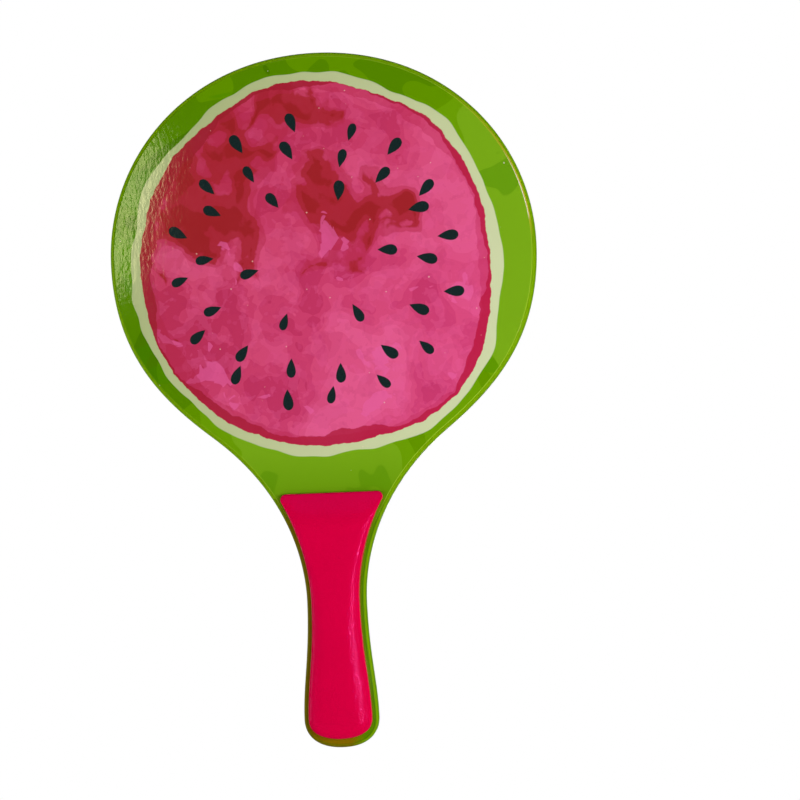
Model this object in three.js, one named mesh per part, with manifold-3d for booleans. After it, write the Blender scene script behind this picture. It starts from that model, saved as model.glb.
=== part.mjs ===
// A racket for frescobol and other beach bat games.
// The board is plywood of five veneers, cut to one outline, with its edges rounded over and lacquered green.
// A printed film covers its front. Each side of the handle has a hollow moulded plastic grip, stuck down on a
// pad of tape. Pegs on the back grip pass through the handle into sockets in the front grip.
//
// Lengths are in millimetres. The racket is drawn with x to the right, y up from the butt and z out of the
// printed face. At the end it is turned so that it points up the Z axis with the printed face towards -Y, and
// its origin is where a hand holds it, in the middle of the handle.

import * as THREE from "three";
import { mergeVertices } from "three/addons/utils/BufferGeometryUtils.js";
import Module from "manifold-3d";

const wasm = await Module();
wasm.setup();

// Outline of the board. Its heights are measured from the butt.
const RACKET_LENGTH = 380;
const HEAD_WIDTH = 234.5;
const HEAD_HEIGHT = 270; // where the head is widest
const THROAT_WIDTH = 128.5;
const THROAT_HEIGHT = 171.5; // where the sweep of the handle turns into the round of the head
const THROAT_LEAN = THREE.MathUtils.degToRad(51.7); // of the outline there, away from upright
const NECK_WIDTH = 32.6;
const NECK_HEIGHT = 80; // where the handle is narrowest
const BUTT_WIDTH = 41;
const BUTT_HEIGHT = 16; // where the end of the handle is widest
const HOLD_HEIGHT = 72; // where the hand's middle finger lies

// How far the control points of each stretch of the outline lie from its two ends, as shares of the width or
// the height that the stretch covers
const BUTT_SHARES = [0.71, 0.54];
const HANDLE_SHARES = [0.3, 0.47];
const THROAT_SHARES = [0.18, 0.6];
const CHEEK_SHARES = [0.36, 0.51];
const CROWN_SHARES = [0.53, 0.6];
const FACETS = { butt: 9, handle: 9, throat: 16, cheek: 12, crown: 16 };
const LEAST_STEP = 0.1; // between two sections of one solid

// Layers of the board
const CORE_VENEER = 1.6;
const CROSSBAND_VENEER = 1.5;
const FACE_VENEER = 1.2;
const BOARD = CORE_VENEER + 2 * (CROSSBAND_VENEER + FACE_VENEER);
const EDGE_RADIUS = 2;
const EDGE_FACETS = 4; // round a quarter of a turn
const FILM = 0.3;

// Grips
const TAPE = 0.3;
const TAPE_MARGIN = 0.6; // from the tape's edge to the grip's
const GRIP_LENGTH = 134.5;
const GRIP_SIDE_MARGIN = 3.1; // bare board beside a grip
const GRIP_FOOT_MARGIN = 5; // bare board below it
const GRIP_CORNER_RADIUS = 3; // of the two corners next to the blade
const CORNER_FACETS = 5;
const GRIP_RISE = 8; // height of the crown
const GRIP_WALL_RISE = 3; // height of the upright side wall
const GRIP_LIP_RISE = 2.2; // height at the edge next to the blade
const GRIP_RAMP = 20; // length over which the crown runs down to that edge
const GRIP_HEEL = 9; // length over which it rounds down at the butt
const CROWN_POWER = 2.4; // 2 makes a section of the crown an ellipse, and more makes it squarer
const RAMP_POWER = 6;
const WALL_SHARE = 0.8; // the most of a grip's height that is upright wall
const SHELL = 1.8; // wall thickness of a grip
const GRIP_FACETS = 20; // across the crown
const HOLLOW_FACETS = 10;

// Ribs inside a grip
const RIB = 1.4;
const RIB_GAP = 0.3; // between the ribs and the tape
const CROSS_RIB_SHARES = [0.28, 0.5, 0.72]; // of a grip's length, from its foot

// Pegs of the back grip, and the holes and sockets that take them
const PEG_DIAMETER = 5;
const PEG_CLEARANCE = 0.3; // round a peg, and beyond its end
const PEG_SHARES = [0.14, 0.39, 0.61, 0.86]; // of a grip's length, from its foot
const PEG_INSERTION = 3.2; // how far a peg goes into its socket
const SOCKET_WALL = 1.6;
const CIRCLE_FACETS = 16;

const OVERRUN = 1; // how far a cut passes the face that it opens

const WOOD = { color: "#4f8a06", roughness: 0.5 };
const PRINT = { color: "#cf3f6d", roughness: 0.2 };
const TAPE_WHITE = { color: "#e4e0d6", roughness: 0.8 };
const PINK = { color: "#d8063f", roughness: 0.4 };

// The right-hand half of the outline from the butt to the tip, as points with their outward normals
function outlineHalf() {
  const foot = new THREE.Vector2(0, 0);
  const butt = new THREE.Vector2(BUTT_WIDTH / 2, BUTT_HEIGHT);
  const neck = new THREE.Vector2(NECK_WIDTH / 2, NECK_HEIGHT);
  const throat = new THREE.Vector2(THROAT_WIDTH / 2, THROAT_HEIGHT);
  const head = new THREE.Vector2(HEAD_WIDTH / 2, HEAD_HEIGHT);
  const tip = new THREE.Vector2(0, RACKET_LENGTH);
  const right = new THREE.Vector2(1, 0);
  const left = new THREE.Vector2(-1, 0);
  const up = new THREE.Vector2(0, 1);
  const leaning = new THREE.Vector2(Math.sin(THROAT_LEAN), Math.cos(THROAT_LEAN));
  return [
    { point: foot, normal: new THREE.Vector2(0, -1) },
    ...stretch(foot, right, butt, up, BUTT_SHARES, FACETS.butt),
    ...stretch(butt, up, neck, up, HANDLE_SHARES, FACETS.handle),
    ...stretch(neck, up, throat, leaning, THROAT_SHARES, FACETS.throat),
    ...stretch(throat, leaning, head, up, CHEEK_SHARES, FACETS.cheek),
    ...stretch(head, up, tip, left, CROWN_SHARES, FACETS.crown),
  ];
}

// The points and normals after the first of a cubic curve, which leaves and reaches its ends as given
function stretch(from, leaving, to, arriving, [leavingShare, arrivingShare], facets) {
  const span = to.clone().sub(from);
  const spanAlong = (direction) => Math.abs(direction.y === 0 ? span.x : span.y);
  const curve = new THREE.CubicBezierCurve(
    from,
    from.clone().addScaledVector(leaving, leavingShare * spanAlong(leaving)),
    to.clone().addScaledVector(arriving, -arrivingShare * spanAlong(arriving)),
    to,
  );
  return Array.from({ length: facets }, (_, i) => {
    const direction = i + 1 < facets ? curve.getTangent((i + 1) / facets) : arriving;
    const normal = new THREE.Vector2(direction.y, -direction.x);
    return { point: curve.getPoint((i + 1) / facets), normal };
  });
}

const OUTLINE_HALF = outlineHalf();

// That half moved inwards, by one distance at the sides of the racket and another at its ends
function insetHalf(sideInset, endInset) {
  return OUTLINE_HALF.map(({ point, normal }) => {
    const inset = Math.hypot(normal.x * sideInset, normal.y * endInset);
    return point.clone().addScaledVector(normal, -inset);
  });
}

// A ring of points, anticlockwise, from its right-hand half
function ringOf(half) {
  const rightHand = half.filter((p) => p.x > 0);
  const ends = half.filter((p) => p.x <= 0);
  const leftHand = rightHand.map((p) => new THREE.Vector2(-p.x, p.y)).reverse();
  return [...ends.slice(0, 1), ...rightHand, ...ends.slice(1), ...leftHand];
}

function boardRing(inset) {
  return ringOf(insetHalf(inset, inset));
}

// How far the rounded edge draws the outline in, at a height z above or below the middle of the board
function edgeInset(z) {
  const intoRound = Math.max(Math.abs(z) - (BOARD / 2 - EDGE_RADIUS), 0);
  return EDGE_RADIUS - Math.sqrt(Math.max(EDGE_RADIUS ** 2 - intoRound ** 2, 0));
}

const GRIP_FOOT = GRIP_FOOT_MARGIN;
const GRIP_TOP = GRIP_FOOT + GRIP_LENGTH;
const PEG_HEIGHTS = PEG_SHARES.map((share) => GRIP_FOOT + GRIP_LENGTH * share);
const PEG_HOLE_DIAMETER = PEG_DIAMETER + 2 * PEG_CLEARANCE;

// A flat layer with the peg holes through it, from rings at rising heights z, the first of them its back
function layer(rings) {
  const outer = rings.map(({ ring, z }) => ring.map((p) => new THREE.Vector3(p.x, p.y, z)));
  const back = outer[0];
  const front = outer[outer.length - 1];
  const holes = PEG_HEIGHTS.map((height) => circle(PEG_HOLE_DIAMETER / 2, height));
  const holesAt = (z) => holes.map((hole) => hole.map((p) => new THREE.Vector3(p.x, p.y, z)));
  const [backHoles, frontHoles] = [holesAt(back[0].z), holesAt(front[0].z)];
  const backPoints = [...back, ...backHoles.flat()];
  const frontPoints = [...front, ...frontHoles.flat()];
  return geometryOf([
    ...outer.slice(1).flatMap((ring, i) => wallBetween(outer[i], ring)),
    ...backHoles.flatMap((hole, i) => wallBetween(hole, frontHoles[i])),
    ...THREE.ShapeUtils.triangulateShape(front, holes).map(([a, b, c]) => [
      frontPoints[a], frontPoints[b], frontPoints[c],
    ]),
    ...THREE.ShapeUtils.triangulateShape(back, holes).map(([a, b, c]) => [
      backPoints[c], backPoints[b], backPoints[a],
    ]),
  ]);
}

// A circle of points round a place on the racket's centre line, clockwise, as the edge of a hole is
function circle(radius, height) {
  return Array.from({ length: CIRCLE_FACETS }, (_, i) => {
    const angle = (-2 * Math.PI * i) / CIRCLE_FACETS;
    return new THREE.Vector2(radius * Math.cos(angle), height + radius * Math.sin(angle));
  });
}

// The triangles between two rings of as many points, which run anticlockwise seen from the upper one
function wallBetween(lower, upper) {
  return lower.flatMap((point, i) => {
    const next = (i + 1) % lower.length;
    return [[point, lower[next], upper[next]], [point, upper[next], upper[i]]];
  });
}

// The triangles that close a convex ring
function lid(ring) {
  return ring.slice(2).map((point, i) => [ring[0], ring[i + 1], point]);
}

function geometryOf(triangles) {
  return mergeVertices(new THREE.BufferGeometry().setFromPoints(triangles.flat()));
}

// One veneer of the board between two heights, with its share of the rounded edge
function veneer(back, front) {
  const heights = Array.from({ length: EDGE_FACETS + 1 }, (_, i) => {
    return BOARD / 2 - EDGE_RADIUS * (1 - Math.sin((Math.PI / 2) * (i / EDGE_FACETS)));
  });
  const between = [...heights, ...heights.map((z) => -z)].filter((z) => {
    return z > back + LEAST_STEP && z < front - LEAST_STEP;
  });
  const levels = [back, ...between.sort((a, b) => a - b), front];
  return layer(levels.map((z) => ({ ring: boardRing(edgeInset(z)), z })));
}

// The film ends where the edge begins to round.
function printedFilm() {
  const ring = boardRing(EDGE_RADIUS);
  return layer([{ ring, z: 0 }, { ring, z: FILM }]);
}

// The right-hand half of a grip's outline from its foot to its top edge, or of that outline moved inwards. It
// follows the board's outline at a margin, and an arc turns it into the straight top edge.
function gripHalf(inset) {
  const radius = Math.max(GRIP_CORNER_RADIUS - inset, inset / 2);
  const sideInset = GRIP_SIDE_MARGIN + inset;
  const footInset = GRIP_FOOT_MARGIN + inset;
  const cornerHeight = GRIP_TOP - inset - radius;
  const centres = insetHalf(sideInset + radius, footInset + radius);
  const above = centres.findIndex((p) => p.y > cornerHeight);
  const [lower, upper] = [centres[above - 1], centres[above]];
  const centre = lower.clone().lerp(upper, (cornerHeight - lower.y) / (upper.y - lower.y));
  const { normal } = OUTLINE_HALF[above];
  const startAngle = Math.atan2(normal.y, normal.x);
  const corner = Array.from({ length: CORNER_FACETS + 1 }, (_, i) => {
    const angle = THREE.MathUtils.lerp(startAngle, Math.PI / 2, i / CORNER_FACETS);
    return new THREE.Vector2(centre.x + radius * Math.cos(angle), centre.y + radius * Math.sin(angle));
  });
  const side = insetHalf(sideInset, footInset).filter((p) => p.x > 0 && p.y < corner[0].y - LEAST_STEP);
  return [...side, ...corner];
}

function gripTape() {
  const ring = ringOf(gripHalf(TAPE_MARGIN));
  return layer([{ ring, z: 0 }, { ring, z: TAPE }]);
}

// The height of a grip's crown at a height up the racket
function crownRise(height) {
  const fromTop = THREE.MathUtils.clamp((GRIP_TOP - height) / GRIP_RAMP, 0, 1);
  const fromFoot = THREE.MathUtils.clamp((height - GRIP_FOOT) / GRIP_HEEL, 0, 1);
  const ramp = THREE.MathUtils.lerp(GRIP_LIP_RISE, GRIP_RISE, (fromTop * (3 - fromTop ** 2)) / 2);
  const heel = THREE.MathUtils.lerp(GRIP_WALL_RISE, GRIP_RISE, Math.sqrt(1 - (1 - fromFoot) ** 2));
  return Math.min(ramp, heel);
}

// A section across the handle, from the right-hand foot of the grip over its crown to the left-hand foot. A
// hollow's section lies one wall inside the grip's, and its floor lower.
function gripSection(halfWidth, height, wall, facets) {
  const crown = crownRise(height) - wall;
  const upright = Math.min(GRIP_WALL_RISE - wall, crown * WALL_SHARE);
  const floor = wall > 0 ? -OVERRUN : 0;
  const ontoRamp = THREE.MathUtils.smoothstep(height, GRIP_TOP - GRIP_RAMP, GRIP_TOP - GRIP_RAMP / 2);
  const exponent = 2 / THREE.MathUtils.lerp(CROWN_POWER, RAMP_POWER, ontoRamp);
  const over = Array.from({ length: facets + 1 }, (_, i) => {
    const angle = (Math.PI * i) / facets;
    const side = i < facets / 2 ? halfWidth : -halfWidth;
    const across = Math.abs(Math.cos(angle)) ** exponent;
    const along = Math.abs(Math.sin(angle)) ** exponent;
    return new THREE.Vector3(side * across, height, upright + (crown - upright) * along);
  });
  return [new THREE.Vector3(halfWidth, height, floor), ...over, new THREE.Vector3(-halfWidth, height, floor)];
}

// A grip as a full solid, or the hollow inside it, lofted through the sections from the foot to the top edge
function gripBody(wall, facets) {
  const sections = gripHalf(wall).map(({ x, y }) => gripSection(x, y, wall, facets));
  const last = sections[sections.length - 1];
  return geometryOf([
    ...lid(sections[0]),
    ...sections.slice(1).flatMap((section, i) => wallBetween(section, sections[i])),
    ...lid([...last].reverse()),
  ]);
}

// A closed geometry as a solid that can be joined and cut, and back again
function solidOf(geometry) {
  const bare = geometry.clone();
  bare.deleteAttribute("normal");
  bare.deleteAttribute("uv");
  const merged = mergeVertices(bare);
  return new wasm.Manifold(new wasm.Mesh({
    numProp: 3,
    vertProperties: new Float32Array(merged.attributes.position.array),
    triVerts: new Uint32Array(merged.index.array),
  }));
}

function geometryFrom(solid) {
  const mesh = solid.getMesh();
  const geometry = new THREE.BufferGeometry();
  geometry.setAttribute("position", new THREE.BufferAttribute(new Float32Array(mesh.vertProperties), 3));
  geometry.setIndex(new THREE.BufferAttribute(new Uint32Array(mesh.triVerts), 1));
  return geometry;
}

// A round bar that stands on the racket's centre line
function bar(diameter, height, bottom, top) {
  const geometry = new THREE.CylinderGeometry(diameter / 2, diameter / 2, top - bottom, CIRCLE_FACETS);
  geometry.rotateX(Math.PI / 2);
  return solidOf(geometry.translate(0, height, (bottom + top) / 2));
}

// A rib that crosses the grip's hollow, cut to the grip's outside
function rib(width, length, height, body) {
  const rise = GRIP_RISE - RIB_GAP;
  const geometry = new THREE.BoxGeometry(width, length, rise);
  return solidOf(geometry.translate(0, height, RIB_GAP + rise / 2)).intersect(body);
}

// A grip's outer body, and the moulded shell with one rib down its middle and three across it
function grip() {
  const body = solidOf(gripBody(0, GRIP_FACETS));
  const ribs = [
    rib(RIB, GRIP_LENGTH, GRIP_FOOT + GRIP_LENGTH / 2, body),
    ...CROSS_RIB_SHARES.map((share) => rib(BUTT_WIDTH, RIB, GRIP_FOOT + GRIP_LENGTH * share, body)),
  ];
  const shell = body.subtract(solidOf(gripBody(SHELL, HOLLOW_FACETS)));
  return { body, shell: ribs.reduce((joined, each) => joined.add(each), shell) };
}

// The front grip has a socket for each peg.
function frontGrip() {
  const { body, shell } = grip();
  const sockets = PEG_HEIGHTS.map((height) => {
    return bar(PEG_HOLE_DIAMETER + 2 * SOCKET_WALL, height, 0, GRIP_RISE).intersect(body);
  });
  const bores = PEG_HEIGHTS.map((height) => {
    return bar(PEG_HOLE_DIAMETER, height, -OVERRUN, PEG_INSERTION + PEG_CLEARANCE);
  });
  const joined = sockets.reduce((solid, socket) => solid.add(socket), shell);
  return geometryFrom(bores.reduce((solid, bore) => solid.subtract(bore), joined));
}

// The back grip has the pegs. They start in its crown, and reach through both tapes, the board and the film.
function backGrip() {
  const { shell } = grip();
  const reach = 2 * TAPE + BOARD + FILM + PEG_INSERTION;
  const pegs = PEG_HEIGHTS.map((height) => bar(PEG_DIAMETER, height, -reach, crownRise(height) - SHELL / 2));
  return geometryFrom(pegs.reduce((solid, peg) => solid.add(peg), shell));
}

// A named piece whose back lies at a height z, or its front if it faces the back of the racket
function piece(name, geometry, finish, z = 0, facesBack = false) {
  const mesh = new THREE.Mesh(geometry, new THREE.MeshStandardMaterial({ ...finish, metalness: 0 }));
  mesh.name = name;
  mesh.position.z = z;
  mesh.rotation.y = facesBack ? Math.PI : 0;
  return mesh;
}

const CORE_FACE = CORE_VENEER / 2;
const CROSSBAND_FACE = CORE_FACE + CROSSBAND_VENEER;
const BOARD_FACE = BOARD / 2;
const FILM_FACE = BOARD_FACE + FILM;

const racket = new THREE.Group();
racket.add(
  piece("core_veneer", veneer(-CORE_FACE, CORE_FACE), WOOD),
  piece("front_crossband_veneer", veneer(CORE_FACE, CROSSBAND_FACE), WOOD),
  piece("back_crossband_veneer", veneer(-CROSSBAND_FACE, -CORE_FACE), WOOD),
  piece("front_face_veneer", veneer(CROSSBAND_FACE, BOARD_FACE), WOOD),
  piece("back_face_veneer", veneer(-BOARD_FACE, -CROSSBAND_FACE), WOOD),
  piece("printed_film", printedFilm(), PRINT, BOARD_FACE),
  piece("front_grip_tape", gripTape(), TAPE_WHITE, FILM_FACE),
  piece("back_grip_tape", gripTape(), TAPE_WHITE, -BOARD_FACE, true),
  piece("front_grip", frontGrip(), PINK, FILM_FACE + TAPE),
  piece("back_grip", backGrip(), PINK, -(BOARD_FACE + TAPE), true),
);
racket.rotation.x = Math.PI / 2;
racket.position.z = -HOLD_HEIGHT;

export default racket;
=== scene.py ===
import math
from types import SimpleNamespace

import bmesh
import bpy
from mathutils import Color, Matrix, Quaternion, Vector
from mathutils.geometry import interpolate_bezier


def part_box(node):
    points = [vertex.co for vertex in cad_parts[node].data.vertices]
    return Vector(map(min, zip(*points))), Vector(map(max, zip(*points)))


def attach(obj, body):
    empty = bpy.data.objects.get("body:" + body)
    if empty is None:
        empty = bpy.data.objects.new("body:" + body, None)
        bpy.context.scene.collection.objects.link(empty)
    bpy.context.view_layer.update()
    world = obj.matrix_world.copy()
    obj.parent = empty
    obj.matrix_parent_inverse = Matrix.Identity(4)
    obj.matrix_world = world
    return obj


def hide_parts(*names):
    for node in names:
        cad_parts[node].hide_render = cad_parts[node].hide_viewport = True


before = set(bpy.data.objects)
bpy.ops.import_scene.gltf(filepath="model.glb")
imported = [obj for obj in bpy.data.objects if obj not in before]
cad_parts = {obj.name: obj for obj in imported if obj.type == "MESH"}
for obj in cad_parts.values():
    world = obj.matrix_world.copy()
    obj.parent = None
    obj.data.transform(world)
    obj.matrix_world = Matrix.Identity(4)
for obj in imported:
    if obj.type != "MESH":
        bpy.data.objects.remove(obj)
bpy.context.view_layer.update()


# The board
# Five veneers glued into plywood with the grain crossed from layer to layer, sawn to one outline. The rims
# are rounded over by a router, and the whole board is sprayed with green lacquer.
board_low, board_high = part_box("core_veneer")
RACKET_LENGTH = board_high.z - board_low.z
HEAD_WIDTH = board_high.x - board_low.x
HEAD_HEIGHT = 0.270  # heights are measured from the butt
THROAT_WIDTH = 0.1285
THROAT_HEIGHT = 0.1715
THROAT_LEAN = math.radians(51.7)
NECK_WIDTH = 0.0326
NECK_HEIGHT = 0.080
BUTT_WIDTH = 0.041
BUTT_HEIGHT = 0.016
BUTT_SHARES = (0.71, 0.54)  # how far a stretch's control points lie from its ends, as shares of its span
HANDLE_SHARES = (0.3, 0.47)
THROAT_SHARES = (0.18, 0.6)
CHEEK_SHARES = (0.36, 0.51)
CROWN_SHARES = (0.53, 0.6)
BUTT_STEPS = 28
HANDLE_STEPS = 28
THROAT_STEPS = 40
CHEEK_STEPS = 36
CROWN_STEPS = 48
BOARD_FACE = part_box("back_face_veneer")[1].y
CROSSBAND_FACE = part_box("back_crossband_veneer")[1].y
CORE_FACE = board_high.y
EDGE_RADIUS = 0.002
EDGE_STEPS = 8
GLUE_GROOVE = 0.00004
DARK_BORDER = 0.003  # of the lacquer, which gathers inside the rims
BORDER_FADE = 0.002
MERGE = 0.000001
SMOOTH_ANGLE = math.radians(35)  # edges that turn more than this stay sharp
FINE_GRAIN = (1500, 1500, 45)  # how fine it is in x, y and z
BROAD_GRAIN = (190, 190, 7)
BARED_HIGHLIGHT_START = (0.03, 0.15)  # angles round the head over which the stretch of its rim that is partly rubbed bare and partly painted highlight sets in
BARED_HIGHLIGHT_END = (0.9, 0.3)  # and fades
HANDLE_TOP = (0.066, 0.050)  # z over which the head gives way to the handle
GRIP_BOUNCE_SIDE = (0.002, -0.008)  # x over which the handle's left side is painted brownish, painted light standing for the pink that the grips reflect into their shade
GRIP_BOUNCE_FOOT = (-0.0625, -0.0655)  # z over which it sets in at the foot, where it reaches further right
GRIP_BOUNCE_FOOT_SIDE = (0.013, 0.005)
# the pale of that stretch, partly bared core and partly a painted highlight where the light from the right
# catches the rim
BARED_HIGHLIGHT_COLOUR = "b4aa28"


def stretch(start, leaving, end, arriving, shares, steps):
    """The points after the first of a cubic curve that leaves and reaches its ends in given directions"""
    span = end - start
    first = leaving * shares[0] * abs(span.x if leaving.y == 0 else span.y)
    last = arriving * shares[1] * abs(span.x if arriving.y == 0 else span.y)
    return interpolate_bezier(start, start + first, end - last, end, steps + 1)[1:]


def half_outline():
    """The right-hand half of the board's outline from the butt to the tip: x, and height above the butt"""
    foot = Vector((0, 0))
    butt = Vector((BUTT_WIDTH / 2, BUTT_HEIGHT))
    neck = Vector((NECK_WIDTH / 2, NECK_HEIGHT))
    throat = Vector((THROAT_WIDTH / 2, THROAT_HEIGHT))
    head = Vector((HEAD_WIDTH / 2, HEAD_HEIGHT))
    tip = Vector((0, RACKET_LENGTH))
    right, left, up = Vector((1, 0)), Vector((-1, 0)), Vector((0, 1))
    leaning = Vector((math.sin(THROAT_LEAN), math.cos(THROAT_LEAN)))
    return [
        foot,
        *stretch(foot, right, butt, up, BUTT_SHARES, BUTT_STEPS),
        *stretch(butt, up, neck, up, HANDLE_SHARES, HANDLE_STEPS),
        *stretch(neck, up, throat, leaning, THROAT_SHARES, THROAT_STEPS),
        *stretch(throat, leaning, head, up, CHEEK_SHARES, CHEEK_STEPS),
        *stretch(head, up, tip, left, CROWN_SHARES, CROWN_STEPS),
    ]


def mirrored(half):
    """A ring of points, anticlockwise seen from the front, from its right-hand half"""
    return half + [Vector((-p.x, p.y)) for p in reversed(half) if p.x > MERGE]


def flat_face(shape, ring, y):
    """A face that looks to the front"""
    face = shape.faces.new([shape.verts.new((p.x, y, board_low.z + p.y)) for p in ring])
    face.normal_update()
    return face


def raised(shape, face, height):
    """The face moved out on a wall of its own"""
    outward = face.normal.copy()
    top = bmesh.ops.extrude_discrete_faces(shape, faces=[face])["faces"][0]
    bmesh.ops.translate(shape, verts=top.verts, vec=outward * height)
    return top


def step_inwards(shape, face, thickness, depth=0):
    """Leaves a border round a face, which moves in by the thickness and out by the depth"""
    bmesh.ops.inset_region(
        shape, faces=[face], thickness=thickness, depth=depth, use_even_offset=True, use_boundary=True
    )


def round_over(shape, face, radius, steps):
    """Rounds a face's rim over a quarter of a turn, by insets that each rise less than the last"""
    angles = [math.pi / 2 * i / steps for i in range(steps + 1)]
    for before, after in zip(angles, angles[1:]):
        thickness = radius * (math.cos(before) - math.cos(after))
        depth = radius * (math.sin(after) - math.sin(before))
        step_inwards(shape, face, thickness, depth)


def open_edges(shape):
    return [edge for edge in shape.edges if edge.is_boundary]


def finish_piece(shape, node, material):
    """Makes the shape a smooth piece that stands for a CAD node and rides on the racket"""
    bmesh.ops.recalc_face_normals(shape, faces=shape.faces)
    name = node + "_finished"
    mesh = bpy.data.meshes.new(name)
    shape.to_mesh(mesh)
    shape.free()
    mesh.shade_smooth()
    mesh.set_sharp_from_angle(angle=SMOOTH_ANGLE)
    mesh.materials.append(material)
    piece = bpy.data.objects.new(name, mesh)
    bpy.context.scene.collection.objects.link(piece)
    weighted = piece.modifiers.new("weighted normals", "WEIGHTED_NORMAL")
    weighted.keep_sharp = True
    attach(piece, "root")
    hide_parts(node)


def fill(tree, node, inputs):
    """Sets each named input of a node to a value, or links it to an output"""
    for name, value in inputs.items():
        source = value.socket if isinstance(value, Value) else value
        if isinstance(source, bpy.types.NodeSocket):
            tree.links.new(source, node.inputs[name])
        else:
            node.inputs[name].default_value = source


def add(tree, kind, inputs=None, **settings):
    """A new node with its settings and inputs"""
    node = tree.nodes.new(kind)
    for name, value in settings.items():
        setattr(node, name, value)
    fill(tree, node, inputs or {})
    return node


class Value:
    """A number on its way through a shader, which takes +, -, * and / as a plain one does"""

    def __init__(self, tree, socket):
        self.tree = tree
        self.socket = socket

    def maths(self, operation, *others):
        """What a Math node makes of this and of the others"""
        node = add(self.tree, "ShaderNodeMath", dict(enumerate((self, *others))), operation=operation)
        return Value(self.tree, node.outputs[0])

    def __add__(self, other):
        return self.maths("ADD", other)

    def __sub__(self, other):
        return self.maths("SUBTRACT", other)

    def __rsub__(self, other):
        return self.maths("MULTIPLY_ADD", -1, other)

    def __mul__(self, other):
        return self.maths("MULTIPLY", other)

    def __truediv__(self, other):
        return self.maths("DIVIDE", other)

    def mapped(self, low, high, to_low=0, to_high=1):
        """Runs from to_low to to_high while this runs from low to high, and is held beyond them"""
        inputs = {"Value": self, "From Min": low, "From Max": high, "To Min": to_low, "To Max": to_high}
        return Value(self.tree, add(self.tree, "ShaderNodeMapRange", inputs).outputs[0])

    def between(self, low, high):
        """low where this is 0, and high where it is 1"""
        return self.mapped(0, 1, low, high)

    def above(self, level, softness=0.004):
        """1 where this passes a level, with an edge as crisp as the softness, else 0"""
        return (self - level).mapped(-softness, softness)


def placed(tree, place, scale=(1, 1, 1), move=(0, 0, 0)):
    """A place as a pattern on the piece sees it, scaled and then moved"""
    inputs = {"Vector": place, "Scale": scale, "Location": move}
    return add(tree, "ShaderNodeMapping", inputs).outputs[0]


def axes(tree, place):
    """The x, y and z of a vector"""
    return [Value(tree, output) for output in add(tree, "ShaderNodeSeparateXYZ", {0: place}).outputs]


def noise(tree, place, scale, detail=2, roughness=0.5, distortion=0):
    """Noise between 0 and 1 over a place"""
    inputs = {"Vector": place, "Scale": scale, "Detail": detail}
    inputs |= {"Roughness": roughness, "Distortion": distortion}
    return Value(tree, add(tree, "ShaderNodeTexNoise", inputs).outputs[0])


def painted(tree, name):
    """The value that the mesh carries under a name"""
    return Value(tree, add(tree, "ShaderNodeAttribute", attribute_name=name).outputs["Fac"])


def bump(tree, height, distance, strength=1):
    """The normal of a surface that rises and falls with a height"""
    inputs = {"Height": height, "Distance": distance, "Strength": strength}
    return add(tree, "ShaderNodeBump", inputs).outputs[0]


def colour(code):
    """A colour for a shader from its six-digit code"""
    shares = [int(code[i : i + 2], 16) / 255 for i in (0, 2, 4)]
    return (*Color(shares).from_srgb_to_scene_linear(), 1)


MIX_UNDER, MIX_OVER, MIX_RESULT = 6, 7, 2  # the colours of a Mix node, among its sockets of the same names


def blended(tree, factor, under, over):
    """One colour laid over another by a factor"""
    inputs = {"Factor": factor, MIX_UNDER: under, MIX_OVER: over}
    return add(tree, "ShaderNodeMix", inputs, data_type="RGBA").outputs[MIX_RESULT]


def new_material(name):
    material = bpy.data.materials.new(name)
    material.use_nodes = True
    tree = material.node_tree
    return material, tree, tree.nodes["Principled BSDF"]


def new_group(name, *outputs):
    """A group of nodes that works out values for a place, and the place as its input gives it"""
    group = bpy.data.node_groups.new(name, "ShaderNodeTree")
    group.interface.new_socket("Vector", in_out="INPUT", socket_type="NodeSocketVector")
    for output in outputs:
        group.interface.new_socket(output, in_out="OUTPUT", socket_type="NodeSocketFloat")
    return group, add(group, "NodeGroupInput").outputs[0]


def use_group(tree, group, place):
    """What a group works out for a place, by name"""
    node = add(tree, "ShaderNodeGroup", {0: place}, node_tree=group)
    return {output.name: Value(tree, output) for output in node.outputs}


def grain_group():
    """Wood grain along Z: Lines changes quickly across the surface, and Broad drifts more slowly"""
    group, place = new_group("wood grain", "Lines", "Broad")
    lines = noise(group, placed(group, place, FINE_GRAIN), scale=1, detail=3, roughness=0.6)
    broad = noise(group, placed(group, place, BROAD_GRAIN), scale=1)
    add(group, "NodeGroupOutput", {"Lines": lines, "Broad": broad})
    return group


def wear_and_light_group():
    """Three masks, in order: a stretch at the right of the head, partly rubbed bare and partly a painted
    highlight; the left side and the foot of the handle, painted brownish as the pink light that the grips
    reflect into their shade; and all that lies above the handle"""
    group, place = new_group("places of wear", "BaredHighlight", "GripBounce", "Head")
    x, _, z = axes(group, place)
    angle = (z - (board_low.z + HEAD_HEIGHT)).maths("ARCTAN2", x)
    bared_highlight = angle.mapped(*BARED_HIGHLIGHT_START) * angle.mapped(*BARED_HIGHLIGHT_END)
    handle = z.mapped(*HANDLE_TOP)
    foot = z.mapped(*GRIP_BOUNCE_FOOT) * x.mapped(*GRIP_BOUNCE_FOOT_SIDE)
    grip_bounce = handle * x.mapped(*GRIP_BOUNCE_SIDE).maths("MAXIMUM", foot)
    add(group, "NodeGroupOutput", {"BaredHighlight": bared_highlight, "GripBounce": grip_bounce, "Head": 1 - handle})
    return group


wood_grain = grain_group()
places_of_wear_and_light = wear_and_light_group()


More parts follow.
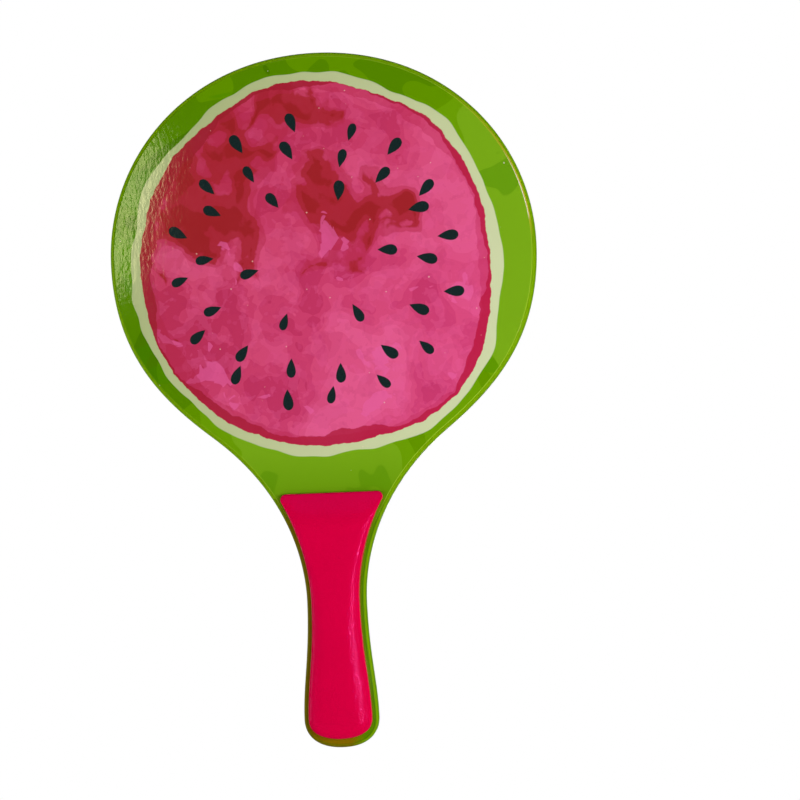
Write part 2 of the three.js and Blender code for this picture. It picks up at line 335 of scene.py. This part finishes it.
def lacquered_wood(name, end_grain):
    """Green lacquer over wood, with fine lines in it on the long grain and open pores on the end grain"""
    material, tree, shader = new_material(name)
    surface = add(tree, "ShaderNodeTexCoord").outputs
    place = surface["Object"]
    if end_grain:
        lines, broad = noise(tree, place, scale=1900, detail=3), noise(tree, place, scale=60)
        rim_tones = ("4f7800", "668e00")
    else:
        lines, broad = use_group(tree, wood_grain, place).values()
        rim_tones = ("699200", "75a000")
    shade = lines.mapped(0.3, 0.7)
    green = blended(tree, shade, colour("447900"), colour("508600"))
    deeper = blended(tree, broad.mapped(0.3, 0.7), colour("447a00"), colour("518800"))
    tint = blended(tree, 0.35, green, deeper)
    border = (1 - painted(tree, "thin coat")) * 0.5
    tint = blended(tree, border, tint, colour("306400"))

    # the lacquer is thinner and lighter where the rim turns, and all round the front of the head
    facing = axes(tree, surface["Normal"])[1]
    in_front = facing.mapped(0, -0.3)
    wear_and_light = use_group(tree, places_of_wear_and_light, place)
    turning = facing.maths("ABSOLUTE").mapped(1, 0.88)
    thin = turning.maths("MAXIMUM", in_front * wear_and_light["Head"])
    tint = blended(tree, thin, tint, blended(tree, shade, *map(colour, rim_tones)))
    # painted light: the front of the handle's left side and foot is tinted brownish, standing for the pink
    # that the grips reflect into the shaded margin
    tint = blended(tree, in_front * wear_and_light["GripBounce"], tint, colour("6e6400"))
    # painted highlight, partly real: a stretch of the rim beside the film at the right of the head is
    # painted pale, as rubbed bare and as lit by the light from the right
    beside_film = facing.mapped(-0.93, -0.96)
    tint = blended(tree, beside_film * wear_and_light["BaredHighlight"], tint, colour(BARED_HIGHLIGHT_COLOUR))
    looks = {
        "Base Color": tint,
        "Roughness": lines.between(0.26, 0.4),
        "Normal": bump(tree, lines, distance=0.00004, strength=0.35),
        "IOR": 1.35,
        "Specular Tint": (0.6, 1, 0.1, 1),
    }
    fill(tree, shader, looks)
    return material


def rounded_board():
    """The whole board, made as its front half and mirrored to the back"""
    shape = bmesh.new()
    thin_coat = shape.verts.layers.float.new("thin coat")
    face = raised(shape, flat_face(shape, mirrored(half_outline()), 0), BOARD_FACE - EDGE_RADIUS)
    round_over(shape, face, EDGE_RADIUS, EDGE_STEPS)
    step_inwards(shape, face, DARK_BORDER)
    step_inwards(shape, face, BORDER_FADE)
    for vert in face.verts:
        vert[thin_coat] = 1
    bmesh.ops.mirror(shape, geom=[*shape.verts, *shape.edges, *shape.faces], axis="Y", merge_dist=MERGE)
    return shape


def veneer(board, node, material, back, front):
    """Cuts one layer out of the board, with a fine groove where its glue lines meet the rim"""
    shape = board.copy()
    for y, kept in ((front, "clear_inner"), (back, "clear_outer")):
        if abs(y) < BOARD_FACE - MERGE:
            whole = [*shape.verts, *shape.edges, *shape.faces]
            cut = {"plane_co": (0, y, 0), "plane_no": (0, 1, 0), kept: True}
            bmesh.ops.bisect_plane(shape, geom=whole, dist=MERGE, **cut)
            rim = open_edges(shape)
            bmesh.ops.holes_fill(shape, edges=rim, sides=0)
            bmesh.ops.bevel(
                shape, geom=rim, offset=GLUE_GROOVE, segments=1, profile=0.5, affect="EDGES", material=-1
            )
    finish_piece(shape, node, material)


long_grain = lacquered_wood("lacquer on long grain", False)
cross_grain = lacquered_wood("lacquer on end grain", True)
board = rounded_board()
veneer(board, "core_veneer", long_grain, CORE_FACE, -CORE_FACE)
veneer(board, "front_crossband_veneer", cross_grain, -CORE_FACE, -CROSSBAND_FACE)
veneer(board, "back_crossband_veneer", cross_grain, CROSSBAND_FACE, CORE_FACE)
veneer(board, "front_face_veneer", long_grain, -CROSSBAND_FACE, -BOARD_FACE)
veneer(board, "back_face_veneer", long_grain, BOARD_FACE, CROSSBAND_FACE)
board.free()


# The printed film
# A glossy plastic film laminated to the front, printed with a slice of melon and cut just inside the rounded
# rim. Its cut edge shows as a thin light line on the head, which is a painted highlight where the light from
# the right catches it and partly rubbed bare, and the press left fine ripples in its gloss.
film_low, film_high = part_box("printed_film")
FILM = film_high.y - film_low.y
FILM_ROUND = 0.00012
FILM_STEPS = 4
CUT_WIDTH = 0.0003  # of the line inside the edge, painted light on the head as a highlight
CUT_FADE = 0.00001
RIPPLES = (600, 600, 300)  # how fine they are in x, y and z
MM = 1000  # the sizes of the print that follow are in millimetres
SLICE_X, SLICE_Z = -3.7, 193.2  # the middle of the slice
SLICE_CRISP = 0.15  # half the width over which one part of it gives way to the next
FLESH_RADIUS = 98.4
FLESH_WAVE = 11  # height of the slow waves of its edge
FLESH_FRAY = 3.4  # and of the short ones
FLESH_BULGE = 8
BULGE_TURN = -0.75  # the direction of the bulge in radians, to the lower right
BULGE_POWER = 12  # more makes it narrower
BAND_WIDTH = 5.2  # of the pale band between the flesh and the rind
BAND_WAVE = 11
BAND_LEAST = 2.6
SEED_LENGTH = 10.6
SEED_WIDTH = 5.3
SEED_RINGS = ((75.5, 16, 0.2), (61, 14, 0.6), (38.5, 6, 0.4))  # radius, seeds and turn of each ring
SEED_SHIFT = 0.22  # play of a seed along its ring, as a share of its part of the ring
SEED_STRAY = 6  # play of it in and out
SEED_LEAN = 0.7  # play of its direction in radians
SEED_SIZES = (0.92, 1.12)
SEED_CRISP = 0.25  # width over which a seed gives way to the flesh
DROP_WIDEST = 0.385  # the most that the formula of a drop's width reaches
DRAWS_APART = 40  # more than the seeds of any ring, so that no two share a draw
CLOUDS_APART = (131.7, 17.3, 57.1)  # how far one seed's part of the noise lies from the next one's
WOBBLES_APART = (1, 1 / 3, 1 / 7)
RIND_TONES = ((0, "4a7900"), (0.42, "568700"), (0.5, "629300"), (0.58, "6c9e06"), (0.66, "78a818"))
FLESH_TONES = ((0, "be3256"), (0.49, "cb3f65"), (0.54, "d54b72"), (0.6, "dd557e"), (0.67, "e45f8a"))
FLESH_PATCHES = (  # how fine, seed, the level that they set in at, strength and colour
    (0.07, 4, 0.54, 0.16, "b02a54"),
    (0.09, 9, 0.55, 0.17, "ee6aa2"),
    (0.15, 10, 0.57, 0.14, "e45a94"),
    (0.19, 11, 0.59, 0.14, "b42c58"),
)
STAINS = ((1.7, 0.5, "b62a44"), (1.0, 0.85, "aa2630"), (0.5, 0.7, "9a2020"))  # reach, strength and colour
FLESH_RIMS = (  # depth, seed, strength and colours at the upper left and at the lower right
    (5.8, 10.4, 0.45, "b3283f", "c42c5a"),
    (2.8, 7.4, 0.85, "9c222c", "ba1a40"),
)
RIM_WAVE = 24  # play of their depth
RIM_LEAN = 1.1  # how much deeper they are at the left than at the top


def inset_half(side_inset, end_inset):
    """The right-hand half of the outline moved in, by one distance at the sides and another at the ends"""
    points = half_outline()
    moved = []
    for i, point in enumerate(points):
        along = points[min(i + 1, len(points) - 1)] - points[max(i - 1, 0)]
        if i in (0, len(points) - 1):
            along.y = 0
        outward = Vector((along.y, -along.x)).normalized()
        distance = math.hypot(outward.x * side_inset, outward.y * end_inset)
        moved.append(point - outward * distance)
    return moved


def length(tree, place):
    """How long a vector is"""
    node = add(tree, "ShaderNodeVectorMath", {0: place}, operation="LENGTH")
    return Value(tree, node.outputs["Value"])


def on_slice(tree):
    """Where a point lies on the slice, in millimetres from its middle, in several ways"""
    racket = add(tree, "ShaderNodeTexCoord").outputs["Object"]
    flat = placed(tree, racket, (MM, 0, MM), (-SLICE_X, 0, -SLICE_Z))
    unit = add(tree, "ShaderNodeVectorMath", {0: flat}, operation="NORMALIZE").outputs["Vector"]
    x, _, z = axes(tree, flat)
    return SimpleNamespace(
        tree=tree,
        racket=racket,
        flat=flat,
        x=x,
        z=z,
        unit=unit,
        radius=length(tree, flat),
        angle=z.maths("ARCTAN2", x),
        # along this the print grows lighter, partly in its own tones and partly as painted light: the
        # fall-off from the lights at the right, darker at the upper left
        lower_right=(x * 0.9 - z * 0.4).mapped(-95, 95),  # 0 at the upper left to 1 at the lower right
        upper=z.mapped(-15, 25),  # 0 in the lower half to 1 in the upper
    )


def cloud(place, scale, seed, detail=3, distortion=1.0):
    """Slow noise over the print, on a part of the noise that the seed picks"""
    moved = placed(place.tree, place.flat, move=[seed * step for step in CLOUDS_APART])
    return noise(place.tree, moved, scale, detail, distortion=distortion)


def wobble(place, scale, seed, detail=2):
    """Noise between -0.5 and 0.5 that changes only with the direction from the slice's middle"""
    moved = placed(place.tree, place.unit, move=[seed * step for step in WOBBLES_APART])
    return noise(place.tree, moved, scale, detail) - 0.5


def inside(place, limit):
    """1 nearer to the slice's middle than a limit, else 0"""
    return limit.above(place.radius, SLICE_CRISP)


def tones(tree, value, stops):
    """Flat tones of one wash beside another, each from its place on the scale of the value"""
    ramp = add(tree, "ShaderNodeValToRGB", {0: value})
    ramp.color_ramp.interpolation = "CONSTANT"
    elements = ramp.color_ramp.elements
    while len(elements) < len(stops):
        elements.new(1)
    for element, (start, code) in zip(elements, stops):
        element.position = start
        element.color = colour(code)
    return ramp.outputs[0]


def slice_edges(place):
    """The edges of the flesh and of the pale band round it, as distances from the middle"""
    edge = FLESH_RADIUS - (place.angle * 2).maths("COSINE")
    edge = edge + wobble(place, 1.6, 2.0) * FLESH_WAVE
    toward_bulge = (place.angle - BULGE_TURN).maths("COSINE").maths("MAXIMUM", 0)
    edge = edge + toward_bulge.maths("POWER", BULGE_POWER) * FLESH_BULGE
    band = (wobble(place, 2.4, 5.0) * BAND_WAVE + BAND_WIDTH).maths("MAXIMUM", BAND_LEAST)
    return edge + wobble(place, 15, 9.0, detail=3) * FLESH_FRAY, edge + band


def rind_colour(place, wear_and_light):
    """Brushed greens that turn lighter to the lower right, partly as painted light from the right"""
    tree = place.tree
    brush = place.lower_right * 0.16 + cloud(place, 0.014, 1, detail=2, distortion=0.4)
    strokes = cloud(place, 0.022, 2, detail=2, distortion=0.5).above(0.62)
    rind = blended(tree, strokes * 0.4, tones(tree, brush, RIND_TONES), colour("458600"))
    on_handle = place.z.mapped(-102, -150)
    rind = blended(tree, on_handle, rind, colour("5c8c00"))
    # painted light: the print on the handle's left side and foot turns brownish, standing for the pink that
    # the grips reflect into their shade
    return blended(tree, wear_and_light["GripBounce"], rind, colour("816800"))


def washed_flesh(place):
    """Flat washes with finer patches in them, pinker and lighter to the lower right, partly as painted
    light, and redder above
    """
    tree = place.tree
    wash = place.lower_right * 0.17 + cloud(place, 0.026, 3, distortion=0.3) - place.upper * 0.02
    flesh = tones(tree, wash, FLESH_TONES)
    for scale, seed, level, strength, code in FLESH_PATCHES:
        patch = cloud(place, scale, seed, distortion=0.4).above(level)
        flesh = blended(tree, patch * strength, flesh, colour(code))
    flesh = blended(tree, place.lower_right * 0.3, flesh, colour("e44c98"))
    flesh = blended(tree, place.upper * 0.12, flesh, colour("be2f46"))
    return blended(tree, 0.16 - place.lower_right * 0.18, flesh, colour("b42844"))


def stained(place, flesh):
    """Darker stains along ragged veins in the upper half of the flesh, but not far to the upper right"""
    tree = place.tree
    ragged = cloud(place, 0.09, 12, distortion=0.5) * 0.1 - 0.03
    vein = (cloud(place, 0.016, 27, detail=2, distortion=0.3) - 0.5).maths("ABSOLUTE") + ragged
    upper_right = (place.x * 0.6 + place.z * 0.8).mapped(52, 84)
    reach = place.upper * (cloud(place, 0.03, 16, detail=1) * 0.22 - 0.052) * (1 - upper_right * 1.1)
    for share, strength, code in STAINS:
        stain = (reach * share).above(vein)
        flesh = blended(tree, stain * strength, flesh, colour(code))
    return flesh


def flecked(place, flesh):
    """Lighter torn flecks, more of them in the lower half"""
    tree = place.tree
    torn = add(tree, "ShaderNodeTexVoronoi", {"Vector": place.flat, "Scale": 0.17, "Randomness": 1})
    chance = Value(tree, add(tree, "ShaderNodeSeparateColor", {0: torn.outputs["Color"]}).outputs[0])
    fleck = chance * 0.12 + cloud(place, 0.035, 7, detail=2, distortion=0.5)
    flecks = fleck.above(place.upper * 0.14 + 0.7)
    return blended(tree, flecks * 0.55, flesh, colour("e862a0"))


def dark_rimmed(place, flesh, edge):
    """Flesh that is darker just inside its edge, in one soft and one strong line"""
    tree = place.tree
    for depth, seed, strength, left_code, right_code in FLESH_RIMS:
        waves = wobble(place, 1.9, seed, detail=4) * RIM_WAVE
        limit = edge - waves - depth + place.angle.maths("COSINE") * RIM_LEAN
        tint = blended(tree, place.lower_right, colour(left_code), colour(right_code))
        flesh = blended(tree, (1 - inside(place, limit)) * strength, flesh, tint)
    return flesh


def seed_ring(place, ring_radius, count, ring_turn, first_draw):
    """The seeds of one ring, as drops whose points are turned to the middle, each a little out of place"""
    tree = place.tree
    sector = place.angle / (2 * math.pi) * count + ring_turn
    index = sector.maths("FLOOR")
    draw = (index + count * 2).maths("MODULO", count) + first_draw
    chance = add(tree, "ShaderNodeTexWhiteNoise", {"W": draw}, noise_dimensions="1D").outputs
    channels = add(tree, "ShaderNodeSeparateColor", {0: chance["Color"]}).outputs
    shift, stray, turn = (Value(tree, channel) - 0.5 for channel in channels)
    across = (sector - index - 0.5 - shift * SEED_SHIFT) * (2 * math.pi * ring_radius / count)
    outward = place.radius - (stray * SEED_STRAY + ring_radius)
    lean = turn * SEED_LEAN
    cosine, sine = lean.maths("COSINE"), lean.maths("SINE")
    size = Value(tree, chance["Value"]).between(*SEED_SIZES)
    along = (across * sine + outward * cosine) / (size * SEED_LENGTH) + 0.5
    from_point = along.mapped(0, 1)
    drop = from_point * (1 - from_point).maths("SQRT") * (size * (SEED_WIDTH / 2 / DROP_WIDEST))
    side = across * cosine - outward * sine
    return (drop - side.maths("ABSOLUTE")).mapped(0, SEED_CRISP)


def print_colour(place, wear_and_light):
    """The colours of the slice from its rind inwards, with its seeds and a few pale specks"""
    tree = place.tree
    edge, band_edge = slice_edges(place)
    # the pale band is lighter to the lower right, partly as painted light from the right
    band = blended(tree, place.lower_right, colour("aeb981"), colour("ced6a8"))
    colours = blended(tree, inside(place, band_edge), rind_colour(place, wear_and_light), band)
    flesh = dark_rimmed(place, flecked(place, stained(place, washed_flesh(place))), edge)
    colours = blended(tree, inside(place, edge), colours, flesh)
    for number, ring in enumerate(SEED_RINGS):
        seeds = seed_ring(place, *ring, DRAWS_APART * number + 0.5)
        colours = blended(tree, seeds, colours, colour("182828"))
    specks = cloud(place, 0.55, 8, detail=0, distortion=0).above(0.86)
    return blended(tree, specks * 0.6, colours, colour("e6d8c0"))


def printed_gloss():
    """The print under its rippled gloss, with a cut edge painted lighter on the head as a highlight, and a
    stretch of it at the right of the head that is partly rubbed bare and partly painted highlight
    """
    material, tree, shader = new_material("printed gloss film")
    place = on_slice(tree)
    wear_and_light = use_group(tree, places_of_wear_and_light, place.racket)
    cut_edge = painted(tree, "cut").above(0.5, 0.1)
    bared_highlight = cut_edge * wear_and_light["BaredHighlight"]
    tint = print_colour(place, wear_and_light)
    # painted highlight: the cut edge on the head is painted a lighter yellow-green, more towards the lower
    # right where the light from the right catches it
    tint = blended(tree, cut_edge * (place.lower_right * 0.7 * wear_and_light["Head"]), tint, colour("a4c832"))
    # the stretch at the right of the head, partly rubbed bare and partly painted highlight, and whiter where
    # it is strongest as a painted highlight
    tint = blended(tree, bared_highlight, tint, colour(BARED_HIGHLIGHT_COLOUR))
    tint = blended(tree, bared_highlight.mapped(0.7, 1), tint, colour("ece4c4"))
    ripples = noise(tree, placed(tree, place.racket, RIPPLES), scale=1)
    looks = {
        "Base Color": tint,
        "Roughness": ripples.between(0.03, 0.07),
        "Normal": bump(tree, ripples, distance=0.000015),
        "IOR": 1.65,
    }
    fill(tree, shader, looks)
    return material


def film():
    """The film raised from its back, with its cut edge rounded and marked"""
    shape = bmesh.new()
    cut = shape.verts.layers.float.new("cut")
    ring = mirrored(inset_half(EDGE_RADIUS, EDGE_RADIUS))
    face = raised(shape, flat_face(shape, ring, film_high.y), FILM - FILM_ROUND)
    round_over(shape, face, FILM_ROUND, FILM_STEPS)
    for vert in shape.verts:
        vert[cut] = 1
    step_inwards(shape, face, CUT_WIDTH)
    step_inwards(shape, face, CUT_FADE)
    for vert in face.verts:
        vert[cut] = 0
    bmesh.ops.holes_fill(shape, edges=open_edges(shape), sides=0)
    finish_piece(shape, "printed_film", printed_gloss())


film()


# The tape pads
# Double-sided tape, a white carrier with a faint weave, that holds each grip down. Only its edge shows, in
# the shadow under the grip.
def tape():
    material, tree, shader = new_material("white tape")
    place = add(tree, "ShaderNodeTexCoord").outputs["Object"]
    weave = add(tree, "ShaderNodeTexWave", {"Vector": place, "Scale": 900, "Distortion": 2}).outputs[0]
    fibres = noise(tree, place, scale=1200, detail=3)
    looks = {
        "Base Color": blended(tree, fibres, colour("cfcabb"), colour("e8e4d8")),
        "Roughness": fibres.between(0.7, 0.95),
        "Normal": bump(tree, weave, distance=0.00004, strength=0.3),
    }
    fill(tree, shader, looks)
    return material


white_tape = tape()
for name in ("front_grip_tape", "back_grip_tape"):
    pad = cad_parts[name]
    pad.data.materials.clear()
    pad.data.materials.append(white_tape)


# The grips
# Two moulded shells of pink satin plastic, alike but for pegs and sockets inside. Each follows the handle at
# a margin, is crowned across it, runs down in a ramp towards the head and rounds down at the butt.
tape_low, tape_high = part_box("back_grip_tape")
GRIP_TAPE = tape_high.y - tape_low.y
GRIP_SIDE_MARGIN = 0.0031
GRIP_FOOT_MARGIN = 0.005
GRIP_CORNER_RADIUS = 0.003
GRIP_WALL_RISE = 0.003  # height of the upright wall
GRIP_LIP_RISE = 0.0022  # height of the lip that the ramp runs down to
GRIP_LIP_ROUND = 0.0008
GRIP_RAMP = 0.020
GRIP_HEEL = 0.009
CROWN_POWER = 2.4  # 2 makes a section of the crown an ellipse, and more makes it squarer
RAMP_POWER = 6
SHOULDER_RUN = 0.060  # length over which the shoulders change from the ramp's to the crown's
WALL_SHARE = 0.8  # the most of a section's height that is upright wall
CORNER_GAP = 0.0001  # the least height left between the points of the side and those of the corner
CORNER_STEPS = 12
ACROSS_STEPS = 48


def grip_half(top):
    """The right-hand half of a grip's outline, from its foot round the handle to its straight top edge"""
    radius = GRIP_CORNER_RADIUS
    corner_height = top - radius
    centres = inset_half(GRIP_SIDE_MARGIN + radius, GRIP_FOOT_MARGIN + radius)
    above = next(i for i, p in enumerate(centres) if p.y > corner_height)
    lower, upper = centres[above - 1], centres[above]
    centre = lower.lerp(upper, (corner_height - lower.y) / (upper.y - lower.y))
    sides = inset_half(GRIP_SIDE_MARGIN, GRIP_FOOT_MARGIN)
    outward = sides[above] - centres[above]
    start = math.atan2(outward.y, outward.x)
    angles = [start + (math.pi / 2 - start) * i / CORNER_STEPS for i in range(CORNER_STEPS + 1)]
    corner = [centre + radius * Vector((math.cos(a), math.sin(a))) for a in angles]
    return [p for p in sides if p.y < corner[0].y - CORNER_GAP] + corner


def held(share):
    """A share, kept between 0 and 1"""
    return min(max(share, 0), 1)


def crown_rise(height, foot, top, rise):
    """The height of the crown over the board at a height up the racket"""
    from_top = held((top - height) / GRIP_RAMP)
    from_foot = held((height - foot) / GRIP_HEEL)
    ramp = GRIP_LIP_RISE + (rise - GRIP_LIP_RISE) * (from_top * (3 - from_top**2)) / 2
    heel = GRIP_WALL_RISE + (rise - GRIP_WALL_RISE) * math.sqrt(1 - (1 - from_foot) ** 2)
    into_lip = held(1 - (top - height) / GRIP_LIP_ROUND)
    return min(ramp, heel) - GRIP_LIP_ROUND * (1 - math.sqrt(1 - into_lip**2))


def smooth_share(value, low, high):
    """How far a value has come from low to high, from 0 to 1, with a soft start and end"""
    share = held((value - low) / (high - low))
    return share * share * (3 - 2 * share)


def satin_plastic():
    material, tree, shader = new_material("pink satin plastic")
    place = add(tree, "ShaderNodeTexCoord").outputs["Object"]
    drift = noise(tree, place, scale=45)
    spark = noise(tree, place, scale=850)
    looks = {
        "Base Color": blended(tree, drift, colour("d2003c"), colour("da0040")),
        "Roughness": spark.between(0.07, 0.16),
        "Normal": bump(tree, spark, distance=0.0002),
        "IOR": 1.45,
        "Specular Tint": (1, 0.12, 0.6, 1),
    }
    fill(tree, shader, looks)
    return material


satin_pink = satin_plastic()


def grip(node, side):
    """A grip made as a grid whose rows are sections across the handle. side is -1 in front and 1 behind."""
    low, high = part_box(node)
    base = BOARD_FACE + GRIP_TAPE + (FILM if side < 0 else 0)
    rise = max(abs(low.y), abs(high.y)) - base
    foot, top = GRIP_FOOT_MARGIN, high.z - board_low.z
    rows = grip_half(top)[1:]
    shape = bmesh.new()
    bmesh.ops.create_grid(shape, x_segments=ACROSS_STEPS, y_segments=len(rows) - 1, size=1)
    for vert in shape.verts:
        row = rows[round((vert.co.y + 1) / 2 * (len(rows) - 1))]
        crown = crown_rise(row.y, foot, top, rise)
        upright = min(GRIP_WALL_RISE, crown * WALL_SHARE)
        onto_ramp = smooth_share(row.y, top - GRIP_RAMP - SHOULDER_RUN, top - GRIP_RAMP / 2)
        power = 2 / (CROWN_POWER + (RAMP_POWER - CROWN_POWER) * onto_ramp)
        angle = math.pi / 2 * (1 - vert.co.x)
        across = math.copysign(abs(math.cos(angle)) ** power, vert.co.x)
        height = upright + (crown - upright) * abs(math.sin(angle)) ** power
        vert.co = (row.x * across, side * (base + height), board_low.z + row.y)
    skirt = bmesh.ops.extrude_edge_only(shape, edges=open_edges(shape))["geom"]
    for vert in skirt:
        if isinstance(vert, bmesh.types.BMVert):
            vert.co.y = side * base
    bmesh.ops.remove_doubles(shape, verts=shape.verts, dist=MERGE)
    bmesh.ops.holes_fill(shape, edges=open_edges(shape), sides=0)
    finish_piece(shape, node, satin_pink)


grip("front_grip", -1)
grip("back_grip", 1)


# The studio
# A pale round floor under the racket, which fades into a white surround, and soft lights round it.
FLOOR_DROP = 0.18
FLOOR_RADIUS = 1.15
FLOOR_PALE = 0.35  # share of the radius that keeps the floor's own tone
WHITE = (1, 1, 1, 1)
HANDLE_AIM = -0.035  # z that a light looks at
NECK_AIM = 0.03
SHEEN_COLOUR = (0.5, 0.35, 1)
GLARE_COLOUR = (1, 0.93, 0.47)
GLARE_LEAN = math.radians(-17)
middle = (board_low + board_high) / 2


def fading_pale():
    """Matt and pale under the racket, and white like the surround at its rim"""
    material, tree, shader = new_material("pale floor")
    fill(tree, shader, {"Base Color": (0.9, 0.9, 0.9, 1), "Roughness": 0.9, "Specular IOR Level": 0})
    level = placed(tree, add(tree, "ShaderNodeTexCoord").outputs["Object"], (1, 1, 0))
    out = {"Value": length(tree, level), "From Min": FLOOR_PALE * FLOOR_RADIUS, "From Max": FLOOR_RADIUS}
    fade = add(tree, "ShaderNodeMapRange", out, interpolation_type="SMOOTHSTEP").outputs[0]
    white = add(tree, "ShaderNodeEmission", {"Color": WHITE, "Strength": 1}).outputs[0]
    join = add(tree, "ShaderNodeMixShader", {0: fade, 1: shader.outputs[0], 2: white})
    tree.links.new(join.outputs[0], tree.nodes["Material Output"].inputs[0])
    return material


def floor():
    shape = bmesh.new()
    bmesh.ops.create_circle(shape, cap_ends=True, segments=128, radius=FLOOR_RADIUS)
    bmesh.ops.translate(shape, verts=shape.verts, vec=(0, 0, board_low.z - FLOOR_DROP))
    mesh = bpy.data.meshes.new("floor")
    shape.to_mesh(mesh)
    shape.free()
    mesh.materials.append(fading_pale())
    piece = bpy.data.objects.new("floor", mesh)
    bpy.context.scene.collection.objects.link(piece)
    piece.visible_glossy = False


def soft_light(name, azimuth, elevation, distance, width, height, radiance, shines=False, aim=middle.z):
    """A rectangular soft light at a direction from the racket, as bright as a surface of that radiance. One
    that shines is also seen in the racket's gloss."""
    data = bpy.data.lights.new(name, "AREA")
    data.shape = "RECTANGLE"
    data.size = width
    data.size_y = height
    data.energy = radiance * math.pi * width * height
    light = bpy.data.objects.new(name, data)
    a, e = math.radians(azimuth), math.radians(elevation)
    toward = Vector((math.sin(a) * math.cos(e), -math.cos(a) * math.cos(e), math.sin(e)))
    light.location = Vector((0, 0, aim)) + toward * distance
    light.rotation_mode = "QUATERNION"
    light.rotation_quaternion = (-toward).to_track_quat("-Z", "Y")
    light.visible_camera = False
    light.visible_glossy = shines
    bpy.context.scene.collection.objects.link(light)
    return light


def white_surround():
    """White to the camera and dark to everything else, so that only the lights light the racket"""
    world = bpy.data.worlds.new("white surround")
    bpy.context.scene.world = world
    world.use_nodes = True
    tree = world.node_tree
    to_camera = add(tree, "ShaderNodeLightPath").outputs["Is Camera Ray"]
    dark = add(tree, "ShaderNodeBackground", {"Color": WHITE, "Strength": 0}).outputs[0]
    seen = add(tree, "ShaderNodeBackground", {"Color": WHITE, "Strength": 1}).outputs[0]
    view = add(tree, "ShaderNodeMixShader", {0: to_camera, 1: dark, 2: seen})
    tree.links.new(view.outputs[0], tree.nodes["World Output"].inputs[0])


floor()
white_surround()
soft_light("key", 50, -8, 1.3, width=0.5, height=0.9, radiance=10.4)

# two strips that are seen as the streak of light on the front grip
soft_light("strip", 24, 0, 1.3, width=0.045, height=0.07, radiance=185, shines=True, aim=HANDLE_AIM)
soft_light("upper strip", 24, 0, 1.3, width=0.07, height=0.16, radiance=20, shines=True, aim=NECK_AIM)

soft_light("left fill", -52, -6, 2.2, width=1.2, height=1.6, radiance=3.6)
soft_light("left strip", -80, 0, 1.6, width=0.4, height=1.0, radiance=1.8, shines=True)
soft_light("overhead", 0, 88, 1.6, width=2.0, height=2.0, radiance=0.7)
soft_light("back key", 132, 10, 1.6, width=0.8, height=1.0, radiance=7.0)
soft_light("back fill", -128, 0, 2.2, width=1.2, height=1.6, radiance=4.0)
soft_light("back shine", 205, 0, 2.6, width=0.9, height=1.6, radiance=0.9, shines=True)
soft_light("back strip", 180, -8, 2.6, width=0.1, height=1.5, radiance=10, shines=True)
soft_light("low gloss panel", -47, -18, 2.5, width=0.35, height=0.4, radiance=1.0, shines=True)

# a faint sheen that is only seen in gloss
sheen = soft_light("high gloss panel", 0, 42, 2.0, width=1.2, height=0.8, radiance=0.7, shines=True)
sheen.visible_diffuse = False
sheen.data.color = SHEEN_COLOUR

# a slanting strip that is seen as the glare at the left of the head
glare = soft_light("gloss panel", -12.2, 5.0, 3.1, width=0.04, height=0.215, radiance=5.6, shines=True)
glare.rotation_quaternion @= Quaternion((0, 0, 1), GLARE_LEAN)
glare.data.color = GLARE_COLOUR


# The camera
# It stands a little to the racket's right, level with its middle, and is rolled so that the head tips to the
# left in the picture.
CAMERA_DISTANCE = 2.0
CAMERA_AZIMUTH = math.radians(6)
CAMERA_ROLL = math.radians(2.4)
FRAME_WIDTH = 0.4377  # of the view, at the racket
ASIDE = 0.0390  # from the racket's middle to the middle of the view
camera_data = bpy.data.cameras.new("camera")
camera = bpy.data.objects.new("camera", camera_data)
bpy.context.scene.collection.objects.link(camera)
toward = Vector((math.sin(CAMERA_AZIMUTH), -math.cos(CAMERA_AZIMUTH), 0))
facing = (-toward).to_track_quat("-Z", "Y") @ Quaternion((0, 0, 1), -CAMERA_ROLL)
camera.rotation_mode = "QUATERNION"
camera.rotation_quaternion = facing
camera.location = middle + facing @ Vector((ASIDE, 0, CAMERA_DISTANCE))
camera_data.lens = camera_data.sensor_width * CAMERA_DISTANCE / FRAME_WIDTH
bpy.context.scene.camera = camera
bpy.context.scene.view_settings.view_transform = "Standard"
